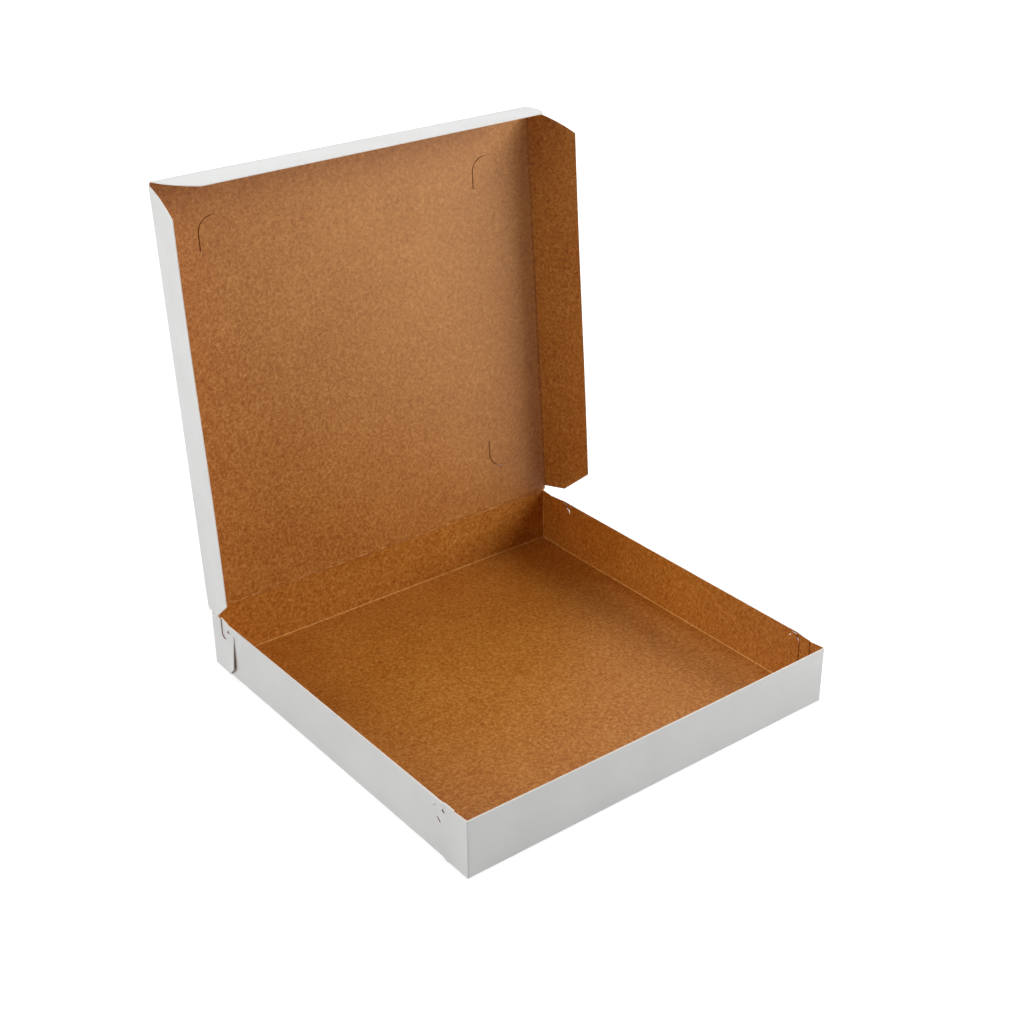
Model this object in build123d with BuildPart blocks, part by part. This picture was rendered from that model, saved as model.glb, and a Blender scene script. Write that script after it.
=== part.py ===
from build123d import *
import os
from math import cos, radians, sin

os.makedirs("parts", exist_ok=True)

# A pizza box folded from one sheet of coated paperboard: a lock-corner tray and a lid with three flaps.
# X runs to the right along the front wall, Y to the back, Z up; the origin is under the middle of the tray.

# The board, in millimetres as all sizes here
board = 0.6
fold_radius = 0.3
lay_gap = 0.2

# The tray
tray_width = 303.0
tray_depth = 304.0
wall_height = 42.6

# The corner locks, measured along a side wall from the outer corner and down from its rim
tab_length = 30.0
tab_drop = 1.0
tab_shoulder = 12.0
tab_round = 10.0
tab_chamfer = 8.5
tab_lift = 0.2
hook_end = 12.6
hook_length = 16.0
hook_root = 34.0
hook_ramp = 3.0
hook_neck = 7.4
hook_lap = 0.8
finger_edge = 22.0
finger_width = 11.0
finger_drop = 2.7
cut_gap = 0.4

# The lid
lid_lean_angle = 4.4
lid_clearance = 0.5
flap_clearance = 0.5
front_clearance = 1.6
hinge_gap = 0.25
hinge_inset = 4.0

# The lid flaps, each opened outward from square by its own angle, as the spring of its fold leaves it
side_flap_depth = 40.0
side_flap_start = 4.5
side_flap_foot = 18.0
side_flap_chamfer = 16.0
side_flap_inset = 2.2
side_flap_taper = 15.0
side_flap_bow = 1.8
left_flap_angle = 7.8
right_flap_angle = 21.2
front_flap_depth = 40.0
front_flap_inset = 1.2
front_flap_taper = 15.5
front_flap_bow = 3.0
front_flap_angle = 3.1

# The four arch cuts in the lid
arch_radius = 11.4
arch_leg = 11.0
arch_slit = 0.6
arch_from_side = 41.5
arch_from_front = 29.0
arch_from_hinge = 34.0

# Places that follow from those sizes; a middle line runs halfway through the board
half_board = board / 2
fold_middle = fold_radius + half_board
half_width = tray_width / 2
half_depth = tray_depth / 2
front = -half_depth
side_middle = half_width - lay_gap - 1.5 * board
tab_middle = half_width - half_board
hook_middle = half_width + lay_gap + half_board
hinge_y = half_depth - half_board
hinge_z = wall_height + lid_clearance + half_board
lid_half = hook_middle + board + flap_clearance
lid_length = hinge_y + half_depth + front_clearance + half_board
edge_gap = half_board + hinge_gap
lid_plane = Plane(
    origin=(0, hinge_y, hinge_z),
    x_dir=(1, 0, 0),
    z_dir=(0, -cos(radians(lid_lean_angle)), sin(radians(lid_lean_angle))),
)


def finger_outline(grown, mode):
    """Draw the round-ended finger of the front left side wall, from the floor up, grown all round."""
    radius = finger_width / 2
    middle = front + finger_edge + radius
    crown = wall_height - finger_drop - radius
    with Locations((middle, crown / 2)):
        Rectangle(finger_width + 2 * grown, crown, mode=mode)
    with Locations((middle, crown)):
        Circle(radius + grown, mode=mode)


def nose_outline(grown, mode):
    """Draw the round-ended nose of the front left hook, from the rim down, grown all round."""
    radius = (finger_edge - cut_gap - hook_end) / 2
    middle = front + hook_end + radius
    straight = hook_length - radius
    with Locations((middle, wall_height - straight / 2)):
        Rectangle(2 * (radius + grown), straight, mode=mode)
    with Locations((middle, wall_height - straight)):
        Circle(radius + grown, mode=mode)


# The hook: the upper end of a side wall, which ramps outward over the end of the corner tab and comes back
# in through the tab's notch, so that its nose lies on the inside
with BuildPart() as hook:
    with BuildSketch(Plane.XY.offset(wall_height - hook_length)):
        with BuildLine():
            Polyline(
                (-side_middle, front + hook_root + hook_ramp),
                (-side_middle, front + hook_root),
                (-hook_middle, front + hook_root - hook_ramp),
                (-hook_middle, front + finger_edge + hook_ramp),
                (-side_middle, front + finger_edge),
                (-side_middle, front + hook_end),
            )
        trace(line_width=board)
    extrude(amount=hook_length)
    with BuildSketch(Plane.YZ):
        nose_outline(0, Mode.ADD)
        with Locations((front + (hook_end + hook_root + hook_ramp) / 2, wall_height - hook_neck / 2)):
            Rectangle(hook_root + hook_ramp - hook_end, hook_neck)
        finger_outline(cut_gap, Mode.SUBTRACT)
    extrude(amount=hook_middle + board, both=True, mode=Mode.INTERSECT)

# The corner locks: each end of the front and back walls folds into a tab along the outside of a side wall.
# The tab's end lies between that wall's hook and its finger, and the notch in the tab lets the hook's nose in
with BuildPart() as corner_locks:
    with BuildSketch(Plane.XY.offset(tab_lift)):
        with BuildLine():
            FilletPolyline(
                (-side_middle, -hinge_y),
                (-tab_middle, -hinge_y),
                (-tab_middle, front + tab_length),
                radius=fold_middle,
            )
        trace(line_width=board)
    extrude(amount=wall_height - tab_lift)
    with BuildSketch(Plane.YZ):
        with BuildLine():
            Polyline(
                (front, tab_lift),
                (front + tab_length - tab_chamfer, tab_lift),
                (front + tab_length, tab_lift + tab_chamfer),
                (front + tab_length, wall_height - tab_drop),
                (front + tab_shoulder, wall_height - tab_drop),
                (front + fold_radius + board, wall_height),
                (front, wall_height),
                close=True,
            )
        tab_face = make_face()
        fillet(tab_face.vertices().group_by(Axis.Y)[-1].sort_by(Axis.Z)[-1], radius=tab_round)
        nose_outline(-hook_lap, Mode.SUBTRACT)
        notch_start = hook_end + hook_lap
        notch_end = finger_edge + hook_ramp
        notch_depth = hook_neck + cut_gap
        with Locations((front + (notch_start + notch_end) / 2, wall_height - notch_depth / 2)):
            Rectangle(notch_end - notch_start, notch_depth, mode=Mode.SUBTRACT)
    extrude(amount=half_width, both=True, mode=Mode.INTERSECT)
    add(hook.part)
    mirror(about=Plane.YZ)
    mirror(about=Plane.XZ)

# The tray: floor, four walls and four corner locks in one folded sheet
with BuildPart() as tray:
    with BuildSketch(Plane.YZ):
        with BuildLine():
            FilletPolyline(
                (-hinge_y, wall_height),
                (-hinge_y, half_board),
                (hinge_y, half_board),
                (hinge_y, wall_height),
                radius=fold_middle,
            )
        trace(line_width=board)
    extrude(amount=side_middle + half_board, both=True)
    with BuildSketch(Plane.XZ):
        with BuildLine():
            FilletPolyline(
                (-side_middle, wall_height),
                (-side_middle, half_board),
                (side_middle, half_board),
                (side_middle, wall_height),
                radius=fold_middle,
            )
        trace(line_width=board)
    extrude(amount=half_depth - finger_edge, both=True)
    # The windows in the side walls that the hooks were cut from
    with BuildSketch(Plane.YZ):
        window_height = hook_neck + cut_gap
        with Locations((front + (finger_edge + hook_root) / 2, wall_height - window_height / 2)):
            Rectangle(hook_root - finger_edge, window_height)
        finger_outline(0, Mode.SUBTRACT)
        mirror(about=Plane.YZ)
    extrude(amount=half_width, both=True, mode=Mode.SUBTRACT)
    add(corner_locks.part)
    # The rounded upper edge of the back wall, which the lid turns about
    with BuildSketch(Plane.YZ):
        with Locations((hinge_y, (wall_height + hinge_z) / 2)):
            Rectangle(board, hinge_z - wall_height)
        with Locations((hinge_y, hinge_z)):
            Circle(half_board)
    extrude(amount=half_width - hinge_inset, both=True)

tray.part.label = "tray"
export_step(tray.part, "parts/tray.step")

# The lid panel, with a rounded edge along each flap's fold and four arch-shaped die cuts
with BuildPart() as lid_panel:
    with BuildSketch(lid_plane):
        with Locations((0, (edge_gap + lid_length) / 2)):
            Rectangle(2 * lid_half, lid_length - edge_gap)
    extrude(amount=half_board, both=True)
    for side in (-1, 1):
        fold_start = lid_plane.from_local_coords((side * lid_half, side_flap_start, 0))
        with BuildSketch(Plane(fold_start, z_dir=lid_plane.y_dir)):
            Circle(half_board)
        extrude(amount=lid_length - side_flap_inset - side_flap_start)
    fold_start = lid_plane.from_local_coords((front_flap_inset - lid_half, lid_length, 0))
    with BuildSketch(Plane(fold_start, z_dir=lid_plane.x_dir)):
        Circle(half_board)
    extrude(amount=2 * (lid_half - front_flap_inset))
    for crown, pointing in ((lid_length - arch_from_front, 1), (arch_from_hinge, -1)):
        spring = crown - pointing * arch_radius
        foot = spring - pointing * arch_leg
        middle = lid_half - arch_from_side
        with BuildSketch(lid_plane):
            with BuildLine():
                Line((middle - arch_radius, foot), (middle - arch_radius, spring))
                ThreePointArc((middle - arch_radius, spring), (middle, crown), (middle + arch_radius, spring))
                Line((middle + arch_radius, spring), (middle + arch_radius, foot))
            trace(line_width=arch_slit)
            mirror(about=Plane.YZ)
        extrude(amount=board, both=True, mode=Mode.SUBTRACT)

lid_panel.part.label = "lid_panel"
export_step(lid_panel.part, "parts/lid_panel.step")


def flap_plane(origin, along, angle, outward):
    """Return a plane for a flap: x along its fold, y across its depth, opened outward from square."""
    depth = lid_plane.z_dir * cos(radians(angle)) + outward * sin(radians(angle))
    return Plane(lid_plane.from_local_coords(origin), x_dir=along, z_dir=along.cross(depth))


# The side flaps: chamfered at the hinge end, rounded away at the front end
def side_flap(side, angle):
    """Return the flap on one side of the lid, -1 for left and 1 for right."""
    tip = lid_length - side_flap_inset
    with BuildPart() as flap:
        plane = flap_plane((side * lid_half, 0, 0), lid_plane.y_dir, angle, lid_plane.x_dir * side)
        with BuildSketch(plane):
            with BuildLine():
                edge = Polyline(
                    (tip, edge_gap),
                    (side_flap_start, edge_gap),
                    (side_flap_start, side_flap_foot),
                    (side_flap_start + side_flap_chamfer, side_flap_depth),
                    (tip - side_flap_taper, side_flap_depth),
                )
                SagittaArc(edge @ 1, edge @ 0, side_flap_bow)
            make_face()
        extrude(amount=half_board, both=True)
    return flap.part


left_flap = side_flap(-1, left_flap_angle)
left_flap.label = "left_flap"
export_step(left_flap, "parts/left_flap.step")

right_flap = side_flap(1, right_flap_angle)
right_flap.label = "right_flap"
export_step(right_flap, "parts/right_flap.step")

# The front flap, tapered towards its free edge
with BuildPart() as front_flap:
    with BuildSketch(flap_plane((0, lid_length, 0), lid_plane.x_dir, front_flap_angle, lid_plane.y_dir)):
        root_half = lid_half - front_flap_inset
        free_half = root_half - front_flap_taper
        with BuildLine():
            root = Line((root_half, edge_gap), (-root_half, edge_gap))
            left_end = SagittaArc(root @ 1, (-free_half, front_flap_depth), front_flap_bow)
            free = Line(left_end @ 1, (free_half, front_flap_depth))
            SagittaArc(free @ 1, root @ 0, front_flap_bow)
        make_face()
    extrude(amount=half_board, both=True)

front_flap.part.label = "front_flap"
export_step(front_flap.part, "parts/front_flap.step")
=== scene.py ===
from math import copysign, cos, hypot, pi, radians, sin

import bpy
from mathutils import Matrix, Vector


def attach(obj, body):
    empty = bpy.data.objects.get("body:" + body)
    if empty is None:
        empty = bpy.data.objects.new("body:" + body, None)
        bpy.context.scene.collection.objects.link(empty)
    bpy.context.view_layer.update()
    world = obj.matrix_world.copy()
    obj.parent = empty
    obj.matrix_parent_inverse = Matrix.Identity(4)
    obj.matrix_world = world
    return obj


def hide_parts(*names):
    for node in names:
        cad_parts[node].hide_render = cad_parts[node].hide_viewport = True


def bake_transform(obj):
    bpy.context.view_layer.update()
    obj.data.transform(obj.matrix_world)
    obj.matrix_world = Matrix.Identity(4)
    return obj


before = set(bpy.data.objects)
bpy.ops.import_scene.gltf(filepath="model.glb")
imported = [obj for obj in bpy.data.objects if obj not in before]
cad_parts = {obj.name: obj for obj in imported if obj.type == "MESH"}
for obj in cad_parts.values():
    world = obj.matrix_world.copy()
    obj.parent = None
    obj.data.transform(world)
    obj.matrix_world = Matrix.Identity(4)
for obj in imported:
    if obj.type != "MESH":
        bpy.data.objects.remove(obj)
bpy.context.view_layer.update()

# The tray: floor, four walls and their corner locks, die-cut and folded from one sheet of paperboard.
# The board is white-coated outside and bare brown kraft inside, and its cut edges show the pale core.
# The walls lean out a little between the corners, and the foot of each corner tab springs off its wall.
board = 0.0006
wall_height = 0.0426
half_width = 0.1515
half_depth = 0.152
tab_length = 0.030
side_bow = 0.0015
front_bow = 0.0010
tab_spring = 0.0026
tab_bend_from = 0.0190
tab_held_above = 0.0300
hook_end = 0.0126
hook_length = 0.0160
hook_neck = 0.0074
hook_root = 0.0340
hook_ramp = 0.0030
hook_fall = 0.0015
nose_set = 0.0010
flush_nose_set = 0.00078
finger_edge = 0.0220
finger_radius = 0.0055
finger_crown = 0.0082
rim_wear_and_highlight = 0.0008
crease_reach = 0.00055
lay_gap = 0.0002
side_outside = half_width - board - lay_gap
side_inside = side_outside - board
end_inside = half_depth - board
side_wall_from = side_inside - board
tab_from = half_width - 1.2 * board
hook_from = half_width + 0.1 * board
end_wall_from = half_depth - 2 * board
floor_to = 2 * board
slit_half = 0.0020
slit_half_width = 0.0005
slit_depth = 0.8 * board
slit_from_corner = 0.0281
slit_below_rim = 0.0153
slit_middle = Vector((-half_width, slit_from_corner - half_depth, wall_height - slit_below_rim))
slit_way = Vector((0, 0.8, 0.6))
slit_across = Vector((0, -0.6, 0.8))
skin = board / 8
hair = 0.000001
bow_power = 1.4
spring_power = 0.8
nose_fade = 0.0120
fall_from = 0.0260
wall_cut_count = 12
end_wall_cuts = 0.1376
side_wall_cuts = 0.1090
lock_cuts = (0.1165, 0.1180, 0.1210, 0.1240, 0.1270, 0.1300, 0.1345, 0.1395)
height_cut_count = 6
lowest_cut = 0.006
highest_cut = 0.037
merge_reach = 0.000002
flat_angle = radians(0.5)
smooth_angle = radians(40)
facing_least = 0.3
facing_well = 0.5
facing_two_walls = 1.05


def add_node(tree, kind, settings=None, **sockets):
    """Add a shader node, set its properties and its sockets, and link the sockets that are given outputs."""
    node = tree.nodes.new(kind)
    for name, value in (settings or {}).items():
        setattr(node, name, value)
    for name, value in sockets.items():
        socket = node.inputs[name.replace("_", " ")]
        if isinstance(value, bpy.types.NodeSocket):
            tree.links.new(value, socket)
        else:
            socket.default_value = value
    return node


def new_material(name):
    """Return a new material with its node tree and its shader."""
    material = bpy.data.materials.new(name)
    material.use_nodes = True
    return material, material.node_tree, material.node_tree.nodes["Principled BSDF"]


def colour_between(tree, factor, stops):
    """Return a colour output that runs through the stops, each a place and a linear colour."""
    ramp = add_node(tree, "ShaderNodeValToRGB", Fac=factor)
    elements = ramp.color_ramp.elements
    while len(elements) < len(stops):
        elements.new(0.5)
    for element, (place, colour) in zip(elements, stops):
        element.position = place
        element.color = (*colour, 1)
    return ramp.outputs["Color"]


def mixed(tree, first, second, share):
    """Return a value output that is the weighted mean of two values."""
    mix = add_node(tree, "ShaderNodeMix")
    mix.inputs["Factor"].default_value = share
    tree.links.new(first, mix.inputs["A"])
    tree.links.new(second, mix.inputs["B"])
    return mix.outputs["Result"]


def thin_lines(tree, place, scale, thinness, share):
    """Return a value output that is high along thin winding lines, broken into short lengths."""
    field = add_node(
        tree, "ShaderNodeTexNoise", Vector=place, Scale=scale, Detail=1, Roughness=0.5, Distortion=1.5
    )
    level = add_node(tree, "ShaderNodeMath", {"operation": "SUBTRACT"})
    tree.links.new(field.outputs["Fac"], level.inputs[0])
    level.inputs[1].default_value = 0.5
    depth = add_node(tree, "ShaderNodeMath", {"operation": "ABSOLUTE"})
    tree.links.new(level.outputs["Value"], depth.inputs[0])
    line = add_node(
        tree, "ShaderNodeMapRange", Value=depth.outputs["Value"], From_Max=thinness, To_Min=1.0, To_Max=0.0
    )
    breaks = add_node(tree, "ShaderNodeTexNoise", Vector=place, Scale=scale * 1.3, Detail=1, Roughness=0.5)
    kept = add_node(
        tree, "ShaderNodeMapRange", Value=breaks.outputs["Fac"],
        From_Min=0.52, From_Max=0.60, To_Min=0.0, To_Max=share,
    )
    product = add_node(tree, "ShaderNodeMath", {"operation": "MULTIPLY"})
    tree.links.new(line.outputs["Result"], product.inputs[0])
    tree.links.new(kept.outputs["Result"], product.inputs[1])
    return product.outputs["Value"]


def colour_over(tree, under, factor, colour):
    """Return a colour output with one colour laid over another by a factor."""
    mix = add_node(tree, "ShaderNodeMix", {"data_type": "RGBA"})
    tree.links.new(factor, mix.inputs[0])
    tree.links.new(under, mix.inputs[6])
    mix.inputs[7].default_value = (*colour, 1)
    return mix.outputs[2]


def kraft_material(name, dark, middle, light, painted_light_way, painted_light_colour, painted_light_share):
    """Make unbleached board: mottled pulp, pale fibres, dark flecks, and a pale tint that grows one way as
    painted light and sheen.
    """
    material, tree, shader = new_material(name)
    place = add_node(tree, "ShaderNodeTexCoord").outputs["Object"]
    pulp = add_node(
        tree, "ShaderNodeTexNoise", Vector=place, Scale=440, Detail=4, Roughness=0.7, Distortion=0.6
    )
    cloud = add_node(tree, "ShaderNodeTexNoise", Vector=place, Scale=20, Detail=3, Roughness=0.55)
    tone = mixed(tree, pulp.outputs["Fac"], cloud.outputs["Fac"], share=0.12)
    colour = colour_between(tree, tone, ((0.33, dark), (0.5, middle), (0.67, light)))
    fibres = thin_lines(tree, place, scale=290, thinness=0.024, share=0.55)
    colour = colour_over(tree, colour, fibres, light)
    shifted = add_node(tree, "ShaderNodeMapping", Vector=place)
    shifted.inputs["Location"].default_value = (3.1, 1.7, 5.3)
    flecks = thin_lines(tree, shifted.outputs["Vector"], scale=340, thinness=0.022, share=0.55)
    colour = colour_over(tree, colour, flecks, dark)
    # The pale tint that grows one way is painted light and sheen.
    reach = add_node(tree, "ShaderNodeVectorMath", {"operation": "DOT_PRODUCT"})
    tree.links.new(place, reach.inputs[0])
    reach.inputs[1].default_value = painted_light_way
    grown = add_node(
        tree, "ShaderNodeMapRange", Value=reach.outputs["Value"],
        From_Min=0.0, From_Max=1.0, To_Max=painted_light_share,
    )
    colour = colour_over(tree, colour, grown.outputs["Result"], painted_light_colour)
    tree.links.new(colour, shader.inputs["Base Color"])
    bump = add_node(tree, "ShaderNodeBump", Height=pulp.outputs["Fac"], Strength=0.3, Distance=0.00012)
    tree.links.new(bump.outputs["Normal"], shader.inputs["Normal"])
    shader.inputs["Roughness"].default_value = 0.5
    shader.inputs["Specular IOR Level"].default_value = 0.4
    return material


# The tray's kraft is mixed a little towards white at the front: a painted sheen.
to_front = (0, -7, 0)
painted_sheen = (0.8, 0.8, 0.8)
kraft = kraft_material(
    "kraft",
    dark=(0.308, 0.070, 0.001), middle=(0.470, 0.168, 0.012), light=(0.652, 0.294, 0.066),
    painted_light_way=to_front, painted_light_colour=painted_sheen, painted_light_share=0.018,
)
# The paler crease kraft is a painted highlight, standing in for the light caught by the pressed bead of a
# fold.
kraft_crease_highlight = kraft_material(
    "kraft_crease_highlight",
    dark=(0.55, 0.25, 0.05), middle=(0.70, 0.36, 0.09), light=(0.82, 0.48, 0.16),
    painted_light_way=to_front, painted_light_colour=painted_sheen, painted_light_share=0,
)
# The dark kraft is painted shade, laid in slits, notches and the bends of the flap folds.
kraft_painted_shade = kraft_material(
    "kraft_painted_shade",
    dark=(0.130, 0.038, 0.004), middle=(0.230, 0.074, 0.009), light=(0.330, 0.115, 0.018),
    painted_light_way=to_front, painted_light_colour=painted_sheen, painted_light_share=0,
)

coat, coat_tree, coat_shader = new_material("white_coat")
coat_place = add_node(coat_tree, "ShaderNodeTexCoord").outputs["Object"]
coat_cloud = add_node(
    coat_tree, "ShaderNodeTexNoise", Vector=coat_place, Scale=28, Detail=3, Roughness=0.5
)
coat_tooth = add_node(
    coat_tree, "ShaderNodeTexNoise", Vector=coat_place, Scale=700, Detail=4, Roughness=0.6
)
coat_colour = colour_between(
    coat_tree, coat_cloud.outputs["Fac"], ((0.3, (0.735, 0.733, 0.725)), (0.7, (0.785, 0.784, 0.778)))
)
coat_tree.links.new(coat_colour, coat_shader.inputs["Base Color"])
coat_gloss = add_node(
    coat_tree, "ShaderNodeMapRange", Value=coat_tooth.outputs["Fac"], To_Min=0.38, To_Max=0.54
)
coat_tree.links.new(coat_gloss.outputs["Result"], coat_shader.inputs["Roughness"])
coat_bump = add_node(
    coat_tree, "ShaderNodeBump", Height=coat_tooth.outputs["Fac"], Strength=0.15, Distance=0.00005
)
coat_tree.links.new(coat_bump.outputs["Normal"], coat_shader.inputs["Normal"])

cut_edge, edge_tree, edge_shader = new_material("cut_edge")
edge_place = add_node(edge_tree, "ShaderNodeTexCoord").outputs["Object"]
edge_fibre = add_node(
    edge_tree, "ShaderNodeTexNoise", Vector=edge_place, Scale=1600, Detail=3, Roughness=0.6
)
edge_colour = colour_between(
    edge_tree, edge_fibre.outputs["Fac"], ((0.35, (0.84, 0.80, 0.72)), (0.65, (0.93, 0.91, 0.86)))
)
edge_tree.links.new(edge_colour, edge_shader.inputs["Base Color"])
edge_shader.inputs["Roughness"].default_value = 0.85

finishes = (kraft, coat, cut_edge, kraft_crease_highlight, kraft_painted_shade)
KRAFT, COAT, CUT_EDGE, CREASE, PAINTED_SHADE = range(len(finishes))


def sheet_from(node):
    """Start a piece in edit mode as a merged copy of a board's mesh, its flat faces whole again."""
    bpy.ops.object.select_all(action="DESELECT")
    piece = bpy.data.objects.new(node + "_board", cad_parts[node].data.copy())
    bpy.context.scene.collection.objects.link(piece)
    bpy.context.view_layer.objects.active = piece
    piece.select_set(True)
    piece.data.materials.clear()
    for finish in finishes:
        piece.data.materials.append(finish)
    bpy.ops.mesh.customdata_custom_splitnormals_clear()
    bpy.ops.object.mode_set(mode="EDIT")
    bpy.ops.mesh.select_all(action="SELECT")
    bpy.ops.mesh.remove_doubles(threshold=merge_reach)
    bpy.ops.mesh.dissolve_limited(angle_limit=flat_angle)
    return piece


def cut_across(places, direction, origin=(0, 0, 0)):
    """Cut the mesh being edited at each distance from the origin along a direction."""
    for place in places:
        bpy.ops.mesh.select_all(action="SELECT")
        bpy.ops.mesh.bisect(plane_co=Vector(origin) + Vector(direction) * place, plane_no=direction)


def steps(first, last, count):
    """Return evenly spaced places from first to last."""
    return [first + (last - first) * i / (count - 1) for i in range(count)]


def share_between(value, first, last):
    """Return how far a value has gone from first to last, from 0 to 1."""
    return min(1, max(0, (value - first) / (last - first)))


def eased(value, first, last):
    """Return how far a value has gone from first to last, from 0 to 1, slow at both ends."""
    share = share_between(value, first, last)
    return share * share * (3 - 2 * share)


def finish_board(piece, node, body):
    """Smooth the folds of a finished board, and let it stand for its node and move with its body."""
    bpy.ops.object.shade_smooth_by_angle(angle=smooth_angle)
    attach(piece, body)
    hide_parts(node)


def on_hook(beside, from_corner, below):
    """Tell whether a point below the rim at a corner belongs to the hook rather than to the tab or finger."""
    if not hook_end - board < from_corner < hook_root or below > hook_length + board:
        return False
    if from_corner < finger_edge:
        return beside < tab_from
    if finger_edge + hook_ramp < from_corner < hook_root - hook_ramp and beside < hook_from:
        return False
    from_finger = hypot(from_corner - finger_edge - finger_radius, finger_crown - below)
    return below < hook_neck + board / 4 and from_finger > finger_radius + board / 3


def pick_faces(piece, wanted):
    """Select just the faces of the mesh being edited that pass a test."""
    bpy.ops.mesh.select_mode(type="FACE")
    bpy.ops.mesh.select_all(action="DESELECT")
    bpy.ops.object.mode_set(mode="OBJECT")
    for face in piece.data.polygons:
        face.select = wanted(face)
    bpy.ops.object.mode_set(mode="EDIT")


def from_slit(face):
    """Return how far a face is from the middle of the corner slit: into the board, along it and across it."""
    away = face.center - slit_middle
    return away.x, abs(away.dot(slit_way)), abs(away.dot(slit_across))


def by_slit(face):
    """Tell whether a face is on the outside of the tab, close around the slit."""
    depth, along, across = from_slit(face)
    return abs(depth) < skin and along < 2 * slit_half and across < 2 * slit_half


def in_slit(face, deepest):
    """Tell whether a face is within the slit's outline and no deeper than a given depth."""
    depth, along, across = from_slit(face)
    return abs(depth) < deepest and along < slit_half + hair and across < slit_half_width + hair


tray = sheet_from("tray")
cut_across(steps(-end_wall_cuts, end_wall_cuts, wall_cut_count), (1, 0, 0))
cut_across(steps(-side_wall_cuts, side_wall_cuts, wall_cut_count), (0, 1, 0))
for from_middle in lock_cuts:
    cut_across((-from_middle, from_middle), (0, 1, 0))
cut_across(steps(lowest_cut, highest_cut, height_cut_count), (0, 0, 1))
cut_across((board + crease_reach, wall_height - rim_wear_and_highlight), (0, 0, 1))
cut_across((crease_reach - side_inside, side_inside - crease_reach), (1, 0, 0))
cut_across((crease_reach - end_inside, end_inside - crease_reach), (0, 1, 0))
for way, reach in ((slit_way, slit_half), (slit_across, slit_half_width)):
    for place in (-reach, reach):
        pick_faces(tray, by_slit)
        bpy.ops.mesh.bisect(plane_co=slit_middle + way * place, plane_no=way)
pick_faces(tray, lambda face: in_slit(face, skin))
bpy.ops.mesh.extrude_region_move(TRANSFORM_OT_translate={"value": (slit_depth, 0, 0)})
bpy.ops.object.mode_set(mode="OBJECT")

for face in tray.data.polygons:
    beside = abs(face.center.x)
    by_wall = beside > side_inside - crease_reach or abs(face.center.y) > end_inside - crease_reach
    by_floor_fold = by_wall and face.center.z < board + crease_reach
    outward = Vector((
        copysign(1, face.center.x) if beside > side_wall_from else 0,
        copysign(1, face.center.y) if abs(face.center.y) > end_wall_from else 0,
        -1 if face.center.z < floor_to and beside < tab_from else 0,
    ))
    facing = face.normal.dot(outward)
    by_crease = by_floor_fold and (face.normal.z > facing_well or facing < -facing_least)
    # The walls of the corner slit are painted dark kraft: painted shade in the slit.
    if in_slit(face, slit_depth + skin) and not in_slit(face, skin):
        face.material_index = PAINTED_SHADE
    # Strips along the floor folds and the inner corner folds take the paler crease kraft: a painted
    # highlight.
    elif by_crease or facing < -facing_two_walls:
        face.material_index = CREASE
    elif facing < -facing_least:
        face.material_index = KRAFT
    elif facing > facing_least:
        # A band just under the rim takes the pale edge colour: partly wear of the die-cut edge, partly a
        # painted highlight.
        face.material_index = CUT_EDGE if face.center.z > wall_height - rim_wear_and_highlight else COAT
    else:
        below = wall_height - face.center.z
        from_corner = half_depth - abs(face.center.y)
        # The cut edges of the inner wall layers take kraft instead of the pale core, and the notch edges take
        # the dark kraft: both painted shade.
        inner_cut = side_wall_from < beside < tab_from and below > board / 4
        by_notch = tab_from < beside < hook_from and hook_end < from_corner < finger_edge + hook_ramp + board
        notch_cut = by_notch and 2 * board < below < hook_length + board
        face.material_index = PAINTED_SHADE if notch_cut else KRAFT if inner_cut else CUT_EDGE

for vertex in tray.data.vertices:
    x, y, z = vertex.co
    rise = (max(z, 0) / wall_height) ** bow_power
    from_corner = half_depth - abs(y)
    if tab_from < abs(x) < hook_from and from_corner < tab_length + board:
        loose = max(0, 1 - z / tab_held_above) ** spring_power
        vertex.co.x += copysign(tab_spring * loose * eased(from_corner, tab_bend_from, tab_length), x)
    if abs(x) > side_wall_from:
        past_ramp = share_between(from_corner, hook_root - hook_ramp, hook_root)
        vertex.co.x += copysign(side_bow * rise * past_ramp, x)
    below = wall_height - z
    if on_hook(abs(x), from_corner, below):
        out = flush_nose_set
        if x > 0 or y > 0:
            past_end = share_between(from_corner, hook_end, finger_edge)
            out = nose_set * past_end * share_between(below, nose_fade, 0)
        out *= share_between(from_corner, finger_edge + hook_ramp, finger_edge)
        vertex.co.x += copysign(out, x)
        gapes = x > 0 and y < 0 and from_corner > hook_root - hook_ramp
        if below > 2 * board and not gapes:
            over_tab = share_between(abs(x), side_outside, hook_from)
            vertex.co.z -= hook_fall * max(over_tab, share_between(from_corner, fall_from, finger_edge))
    if y < -end_wall_from:
        vertex.co.y -= front_bow * rise * max(0, 1 - (x / half_width) ** 2)

finish_board(tray, "tray", "tray")

# The lid panel: the same sheet beyond the back wall, kraft inside and white outside, very slightly bellied.
# Four arch-shaped cuts leave tongues in it. Three gape a hair on the left; the lower left one is tight.
hinge_y = half_depth - board / 2
hinge_z = 0.0434
lid_lean = radians(4.4)
lid_half = 0.1531
lid_length = 0.3056
lid_origin = Vector((0, hinge_y, hinge_z))
lid_across = Vector((1, 0, 0))
lid_up = Vector((0, sin(lid_lean), cos(lid_lean)))
lid_inward = Vector((0, -cos(lid_lean), sin(lid_lean)))
fold_room = 0.0006
lid_belly = 0.0012
arch_radius = 0.0114
arch_slit = 0.0006
arch_leg = 0.011
arch_from_side = 0.0415
arch_from_front = 0.029
arch_from_hinge = 0.034
arch_length = arch_radius + arch_leg
arch_middle = lid_half - arch_from_side
arch_crowns = ((lid_length - arch_from_front, 1), (arch_from_hinge, -1))
tongue_push = 0.00012
slit_closing = 0.99
gape_from = -0.3 * arch_radius
gape_to = 0.4 * arch_radius
lip_wear = 0.0003
lip_from = -0.6 * arch_radius
lid_cut_count = 20
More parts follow.
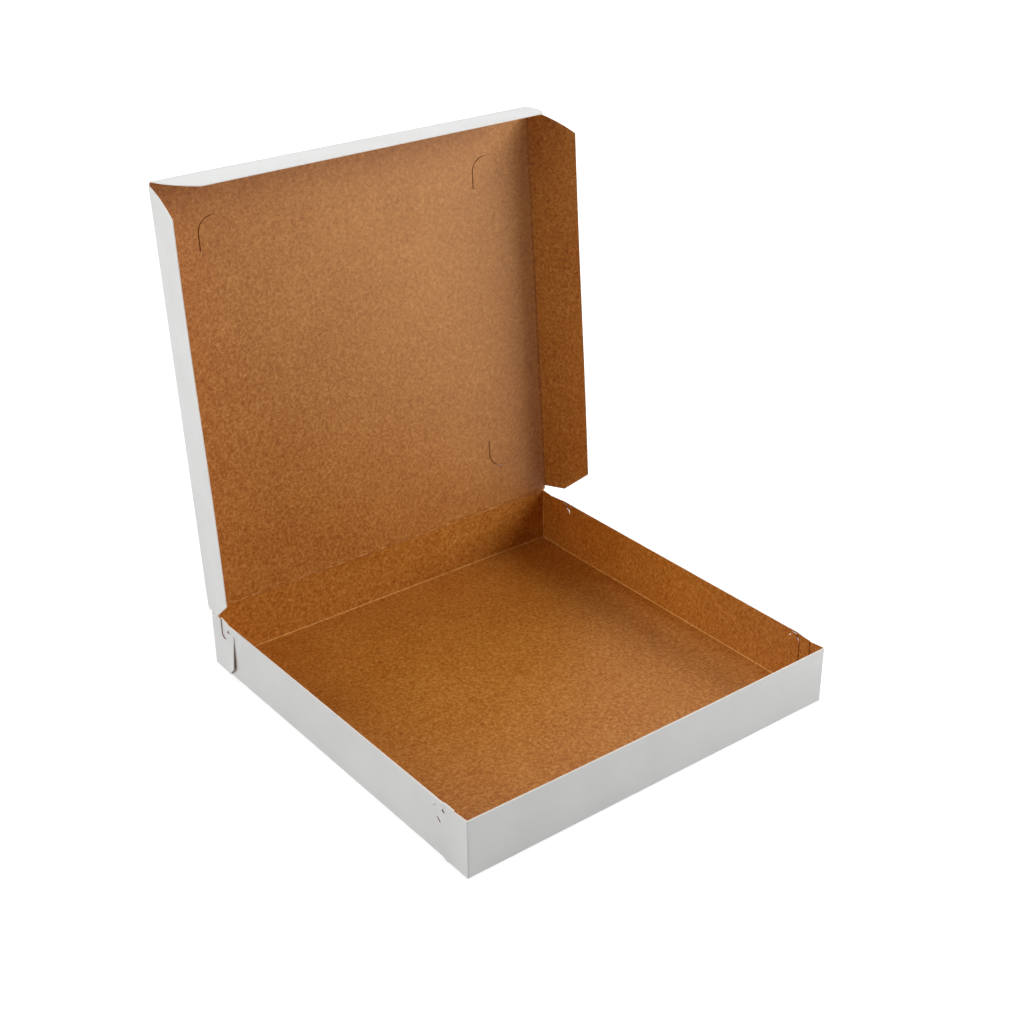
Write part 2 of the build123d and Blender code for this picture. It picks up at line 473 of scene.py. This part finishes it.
lid_cuts_half = 0.1425
lowest_lid_cut = 0.015
highest_lid_cut = 0.290
box_inside = Vector((0, 0, 0.2))


def paint_sheet(piece):
    """Give a flat board kraft on the side that faces into the box, the coat behind it and pale cut edges."""
    broad = max(piece.data.polygons, key=lambda face: face.area)
    inward = broad.normal.copy()
    if inward.dot(box_inside - broad.center) < 0:
        inward.negate()
    for face in piece.data.polygons:
        facing = face.normal.dot(inward)
        face.material_index = KRAFT if facing > facing_well else COAT if facing < -facing_well else CUT_EDGE


def trim(place, direction, origin):
    """Cut away what lies beyond a distance from the origin along a direction, and close the cut."""
    bpy.ops.mesh.select_all(action="SELECT")
    bpy.ops.mesh.bisect(
        plane_co=Vector(origin) + Vector(direction) * place, plane_no=direction,
        clear_outer=True, use_fill=True,
    )


def arch_place(point):
    """Return a point's way along the nearest arch, beside it and past its spring, and the arch's pointing."""
    up = (point - lid_origin).dot(lid_up)
    crown, pointing = min(arch_crowns, key=lambda arch: abs(up - arch[0]))
    along = arch_length - (crown - up) * pointing
    sideways = point.x - copysign(arch_middle, point.x)
    past_spring = max(0, along - (arch_length - arch_radius))
    return along, sideways, past_spring, pointing


to_right_top = (3.6, 0, 2.2)
pale_pulp = (0.92, 0.52, 0.24)
lid_kraft = kraft_material(
    "kraft_lid",
    dark=(0.292, 0.068, 0.003), middle=(0.447, 0.163, 0.018), light=(0.622, 0.286, 0.072),
    painted_light_way=to_right_top, painted_light_colour=pale_pulp, painted_light_share=0.22,
)
lid = sheet_from("lid_panel")
lid.data.materials[KRAFT] = lid_kraft
trim(lid_half - fold_room, lid_across, lid_origin)
trim(lid_half - fold_room, -lid_across, lid_origin)
trim(lid_length - fold_room, lid_up, lid_origin)
cut_across(steps(-lid_cuts_half, lid_cuts_half, lid_cut_count), lid_across, lid_origin)
cut_across(steps(lowest_lid_cut, highest_lid_cut, lid_cut_count), lid_up, lid_origin)
bpy.ops.object.mode_set(mode="OBJECT")
paint_sheet(lid)
# The walls of the arch slits are painted dark kraft: painted shade in the slits.
for face in lid.data.polygons:
    along, sideways, past_spring, pointing = arch_place(face.center)
    from_middle = Vector((sideways, past_spring)).length
    if face.material_index == CUT_EDGE and from_middle < arch_radius + arch_slit and along > -arch_slit:
        face.material_index = PAINTED_SHADE
for vertex in lid.data.vertices:
    along, sideways, past_spring, pointing = arch_place(vertex.co)
    from_middle = Vector((sideways, past_spring)).length
    up = min(1, max(0, (vertex.co - lid_origin).dot(lid_up) / lid_length))
    push = lid_belly * max(0, 1 - (vertex.co.x / lid_half) ** 2) * sin(pi * up)
    tight = vertex.co.x < 0 and pointing < 0
    if along > 0 and from_middle < arch_radius:
        push += 0 if tight else tongue_push * eased(along, 0, arch_length / 2)
        if from_middle > arch_radius - arch_slit:
            behind = (vertex.co - lid_origin).dot(lid_inward) < 0
            closed = 1 if behind or tight else eased(sideways, gape_from, gape_to)
            growth = slit_closing * arch_slit * closed / from_middle
            vertex.co += (lid_across * sideways + lid_up * pointing * past_spring) * growth
    elif along > -arch_slit and from_middle < arch_radius + arch_slit:
        if (vertex.co - lid_origin).dot(lid_inward) > 0 and not tight:
            growth = lip_wear * (1 - eased(sideways, lip_from, 0)) / from_middle
            vertex.co += (lid_across * sideways + lid_up * pointing * past_spring) * growth
    vertex.co -= lid_inward * push
finish_board(lid, "lid_panel", "lid")

# The lid's side and front flaps: the same board, sprung open from their folds to different angles.
# Their free edges are plain die cuts with a band painted the pale edge colour, partly wear and partly a
# painted highlight, and the front flap is a little twisted along its length.
flap_depth = 0.040
flap_cut_count = 14
left_flap_angle = 7.8
right_flap_angle = 21.2
front_flap_angle = 3.1
front_twist = radians(2.6)
flap_curl = radians(0.8)
foot_reach = 0.022
foot_drop = 0.0012


def opened(outward, angle):
    """Return the way a flap runs from its fold, opened outward from square by an angle."""
    return lid_inward * cos(radians(angle)) + outward * sin(radians(angle))


flap_folds = {
    "left_flap": (
        lid_origin - lid_across * lid_half, lid_up, lid_length,
        opened(-lid_across, left_flap_angle),
    ),
    "right_flap": (
        lid_origin + lid_across * lid_half, lid_up, lid_length,
        opened(lid_across, right_flap_angle),
    ),
    "front_flap": (
        lid_origin + lid_up * lid_length - lid_across * lid_half, lid_across, 2 * lid_half,
        opened(lid_up, front_flap_angle),
    ),
}
for node, (fold_start, fold_way, fold_length, flap_way) in flap_folds.items():
    flap = sheet_from(node)
    cut_across(steps(foot_reach, fold_length - foot_reach, flap_cut_count), fold_way, fold_start)
    cut_across((flap_depth - rim_wear_and_highlight,), flap_way, fold_start)
    bpy.ops.object.mode_set(mode="OBJECT")
    paint_sheet(flap)
    # A band along the free edge takes the pale edge colour: partly wear of the die-cut edge, partly a painted
    # highlight.
    for face in flap.data.polygons:
        if face.material_index == COAT and (face.center - fold_start).dot(flap_way) > flap_depth - rim_wear_and_highlight:
            face.material_index = CUT_EDGE
    for vertex in flap.data.vertices:
        along = (vertex.co - fold_start).dot(fold_way)
        if node == "front_flap":
            turn = front_twist * (1 - along / fold_length)
        else:
            turn = flap_curl * sin(2 * pi * along / fold_length)
        turned = Matrix.Rotation(turn, 3, fold_way) @ (vertex.co - fold_start)
        if node != "front_flap" and along < foot_reach - board:
            turned -= fold_way * foot_drop
        vertex.co = fold_start + turned
    finish_board(flap, node, node)

# The four folds that move: the board itself, creased so that it bends there, from one panel to the next.
# The press leaves a bead inside each crease, and along the hinge its skin is cracked to a broken pale line.
# The bend of each flap fold is painted dark kraft, as painted shade.
strip_reach = 0.0022
strip_thickness = board + 0.00004
strip_round = 0.00045
round_segments = 5
on_fold = 0.000000001
arm_face_count = 4
flat_limit = 0.05
hinge_inset = 0.0003
side_flap_start = 0.0045
side_flap_inset = 0.0022
front_flap_inset = 0.0012
hinge_half = half_width - hinge_inset
flap_start = side_flap_start - foot_drop
flap_end = lid_length - side_flap_inset
front_half = lid_half - front_flap_inset

hinge_score, score_tree, score_shader = new_material("kraft_score")
score_place = add_node(score_tree, "ShaderNodeTexCoord").outputs["Object"]
score_along = add_node(score_tree, "ShaderNodeMapping", Vector=score_place)
score_along.inputs["Scale"].default_value = (150, 900, 900)
score_breaks = add_node(
    score_tree, "ShaderNodeTexNoise", Vector=score_along.outputs["Vector"], Scale=1, Detail=2, Roughness=0.6
)
score_colour = colour_between(
    score_tree,
    score_breaks.outputs["Fac"],
    ((0.46, (0.36, 0.135, 0.030)), (0.54, (0.52, 0.23, 0.07)), (0.66, (0.74, 0.41, 0.17))),
)
score_tree.links.new(score_colour, score_shader.inputs["Base Color"])
score_shader.inputs["Roughness"].default_value = 0.7


def pick_fold_line(strip, start, along):
    """Select just the edge of a strip that lies on its fold, and leave the strip in edit mode."""
    bpy.ops.mesh.select_all(action="DESELECT")
    bpy.ops.object.mode_set(mode="OBJECT")
    for edge in strip.data.edges:
        ends = [strip.data.vertices[i].co - start for i in edge.vertices]
        edge.select = all(end.cross(along).length < on_fold for end in ends)
    bpy.ops.object.mode_set(mode="EDIT")


def fold_strip(name, start, along, arm_a, arm_b, inside):
    """Make the strip of board that bends between two panels, a rounded fold with a short arm on each."""
    bpy.ops.object.select_all(action="DESELECT")
    bpy.ops.mesh.primitive_plane_add(size=1)
    strip = bpy.context.object
    strip.name = name
    corners = (start + arm_a * strip_reach, start + arm_a * strip_reach + along, start, start + along)
    for vertex, corner in zip(strip.data.vertices, corners):
        vertex.co = corner
    for finish in finishes:
        strip.data.materials.append(finish)
    bpy.ops.object.mode_set(mode="EDIT")
    bpy.ops.mesh.select_mode(type="EDGE")
    pick_fold_line(strip, start, along)
    bpy.ops.mesh.extrude_edges_move(TRANSFORM_OT_translate={"value": arm_b * strip_reach})
    pick_fold_line(strip, start, along)
    bpy.ops.mesh.bevel(offset=strip_round, segments=round_segments, affect="EDGES")
    bpy.ops.mesh.select_all(action="SELECT")
    bpy.ops.mesh.normals_make_consistent(inside=False)
    bpy.ops.object.mode_set(mode="OBJECT")
    if strip.data.polygons[0].normal.dot(inside) < 0:
        bpy.ops.object.mode_set(mode="EDIT")
        bpy.ops.mesh.flip_normals()
        bpy.ops.object.mode_set(mode="OBJECT")
    thicken = strip.modifiers.new("board", "SOLIDIFY")
    thicken.thickness = strip_thickness
    thicken.offset = 0
    thicken.use_even_offset = True
    thicken.material_offset = COAT
    thicken.material_offset_rim = CUT_EDGE
    bpy.ops.object.modifier_apply(modifier=thicken.name)
    bpy.ops.object.shade_smooth_by_angle(angle=smooth_angle)
    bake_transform(strip)
    return strip


def strip_flats(strip):
    """Return the directions that a fold strip's two arms face, which are its widest faces."""
    widest = sorted(strip.data.polygons, key=lambda face: -face.area)[:arm_face_count]
    return [face.normal.copy() for face in widest]


hinge_strip = fold_strip(
    "hinge_fold",
    lid_origin - lid_across * hinge_half, lid_across * 2 * hinge_half,
    Vector((0, 0, -1)), lid_up, lid_inward,
)
hinge_strip.data.materials[CREASE] = hinge_score
flap_strips = [
    fold_strip(
        node + "_fold",
        lid_origin + lid_across * side * lid_half + lid_up * flap_start, lid_up * (flap_end - flap_start),
        -lid_across * side, flap_folds[node][-1], lid_inward,
    )
    for node, side in (("left_flap", -1), ("right_flap", 1))
]
flap_strips.append(fold_strip(
    "front_flap_fold",
    lid_origin + lid_up * lid_length - lid_across * front_half, lid_across * 2 * front_half,
    -lid_up, flap_folds["front_flap"][-1], lid_inward,
))
for face in hinge_strip.data.polygons:
    bent = abs((face.center - lid_origin).dot(lid_up)) < strip_round
    if face.material_index == KRAFT and bent:
        face.material_index = CREASE
# The bends of the flap folds are painted dark kraft: painted shade in the crease.
for strip in flap_strips:
    flats = strip_flats(strip)
    for face in strip.data.polygons:
        bent = all(face.normal.cross(flat).length > flat_limit for flat in flats)
        if face.material_index == KRAFT and bent:
            face.material_index = PAINTED_SHADE

# The stage: a wide pale floor just under the box, which keeps its soft shadow, in a white room.
# Three square soft boxes light it: a strong one at the right, one at the left and one high at the back.
floor_size = 40
floor_drop = 0.0003
light_target = (0, 0, 0.12)
softbox_size = 1.3

bpy.ops.object.select_all(action="DESELECT")
bpy.ops.mesh.primitive_plane_add(size=floor_size, location=(0, 0, -floor_drop))
floor = bpy.context.object
floor.name = "floor"
floor_material, floor_tree, floor_shader = new_material("pale_floor")
floor_shader.inputs["Base Color"].default_value = (0.62, 0.62, 0.62, 1)
floor_shader.inputs["Roughness"].default_value = 0.9
floor_shader.inputs["Specular IOR Level"].default_value = 0.1


def seen_directly(tree):
    """Return a value output that is 1 for rays from the camera, reflections and see-through rays, else 0."""
    path = add_node(tree, "ShaderNodeLightPath")
    value = path.outputs["Is Camera Ray"]
    for kind in ("Is Glossy Ray", "Is Transmission Ray"):
        either = add_node(tree, "ShaderNodeMath", {"operation": "MAXIMUM"})
        tree.links.new(value, either.inputs[0])
        tree.links.new(path.outputs[kind], either.inputs[1])
        value = either.outputs["Value"]
    return value


floor_place = add_node(floor_tree, "ShaderNodeTexCoord")
floor_reach = add_node(floor_tree, "ShaderNodeVectorMath", {"operation": "LENGTH"})
floor_tree.links.new(floor_place.outputs["Object"], floor_reach.inputs[0])
floor_lift = add_node(
    floor_tree, "ShaderNodeMapRange", Value=floor_reach.outputs["Value"],
    From_Min=0.25, From_Max=1.2, To_Min=0.62, To_Max=1.0,
)
seen_lift = add_node(floor_tree, "ShaderNodeMath", {"operation": "MULTIPLY"})
floor_tree.links.new(seen_directly(floor_tree), seen_lift.inputs[0])
floor_tree.links.new(floor_lift.outputs["Result"], seen_lift.inputs[1])
floor_shader.inputs["Emission Color"].default_value = (1, 1, 1, 1)
floor_tree.links.new(seen_lift.outputs["Value"], floor_shader.inputs["Emission Strength"])
floor.data.materials.append(floor_material)

world = bpy.data.worlds.new("studio")
bpy.context.scene.world = world
world.use_nodes = True
world_tree = world.node_tree
background = world_tree.nodes["Background"]
background.inputs["Color"].default_value = (1, 1, 1, 1)
world_level = add_node(
    world_tree, "ShaderNodeMapRange", Value=seen_directly(world_tree), To_Min=0.04, To_Max=1.0
)
world_tree.links.new(world_level.outputs["Result"], background.inputs["Strength"])


def softbox(name, place, target, size, power):
    """Hang a square area light that faces a point."""
    lamp = bpy.data.lights.new(name, "AREA")
    lamp.shape = "SQUARE"
    lamp.size = size
    lamp.energy = power
    box = bpy.data.objects.new(name, lamp)
    box.location = place
    box.rotation_euler = (Vector(target) - Vector(place)).to_track_quat("-Z", "Y").to_euler()
    bpy.context.scene.collection.objects.link(box)


softbox("right_softbox", (1.65, -1.0, 0.9), light_target, softbox_size, power=40)
softbox("left_softbox", (-1.85, 0.15, 0.95), light_target, softbox_size, power=21.5)
softbox("back_softbox", (0.1, 1.1, 2.0), light_target, softbox_size, power=25)

# The camera: a short telephoto view from the front left, looking down into the open box.
# It stands 1.2 m from the middle of the tray and well above the top of the raised lid.
camera_down = 27.592
camera_turn = -37.809
camera_roll = -0.358
camera_data = bpy.data.cameras.new("camera")
camera_data.sensor_width = 36
camera_data.lens = 58.472
camera = bpy.data.objects.new("camera", camera_data)
camera.location = (-0.60366, -0.77934, 0.64929)
camera.rotation_euler = (radians(90 - camera_down), 0, radians(camera_turn))
camera.rotation_euler.rotate_axis("Z", radians(camera_roll))
bpy.context.scene.collection.objects.link(camera)
bpy.context.scene.camera = camera
bpy.context.scene.view_settings.view_transform = "Standard"
